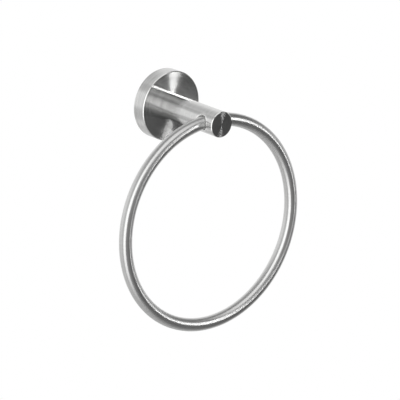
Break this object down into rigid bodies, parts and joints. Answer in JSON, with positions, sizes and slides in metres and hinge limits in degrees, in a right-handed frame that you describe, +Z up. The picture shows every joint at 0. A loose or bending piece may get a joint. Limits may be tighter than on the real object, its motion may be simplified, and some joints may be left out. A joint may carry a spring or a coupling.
{
  "type": "towel ring",
  "caption": "Wall-mounted towel ring in brushed stainless steel: a round flange with a straight round post, and a round rod ring that swings in a cross bore near the post's free end.",
  "frame": {"origin": "centre of the flange's back on the wall plane, midway between the two wall-screw holes", "axes": "+Y into the wall, so the post points along -Y; +Z up, the ring hanging towards -Z; +X to the right seen from in front"},
  "size_m": [0.17, 0.072, 0.1916],
  "materials": {
    "flange_steel": "turned stainless steel, fine circular brushing on the face and around the rim",
    "post_steel": "stainless bar, fine circular brushing on the end face and around the bar",
    "ring_steel": "stainless rod, satin polished along its length",
    "bracket_steel": "plain turned stainless steel",
    "screw_steel": "plain stainless screw"
  },
  "bodies": {
    "holder": {"wall_flange": "flange_steel", "post": "post_steel", "wall_bracket": "bracket_steel", "flange_grub_screw": "screw_steel", "post_screw": "screw_steel"},
    "swing_ring": {"ring": "ring_steel"}
  },
  "joints": [
    {"name": "ring_swing", "type": "hinge", "parent": "holder", "child": "swing_ring", "pos_m": [0, -0.0595, 0], "axis": [-1, 0, 0], "range_deg": [-19.5, 199.5]}
  ]
}
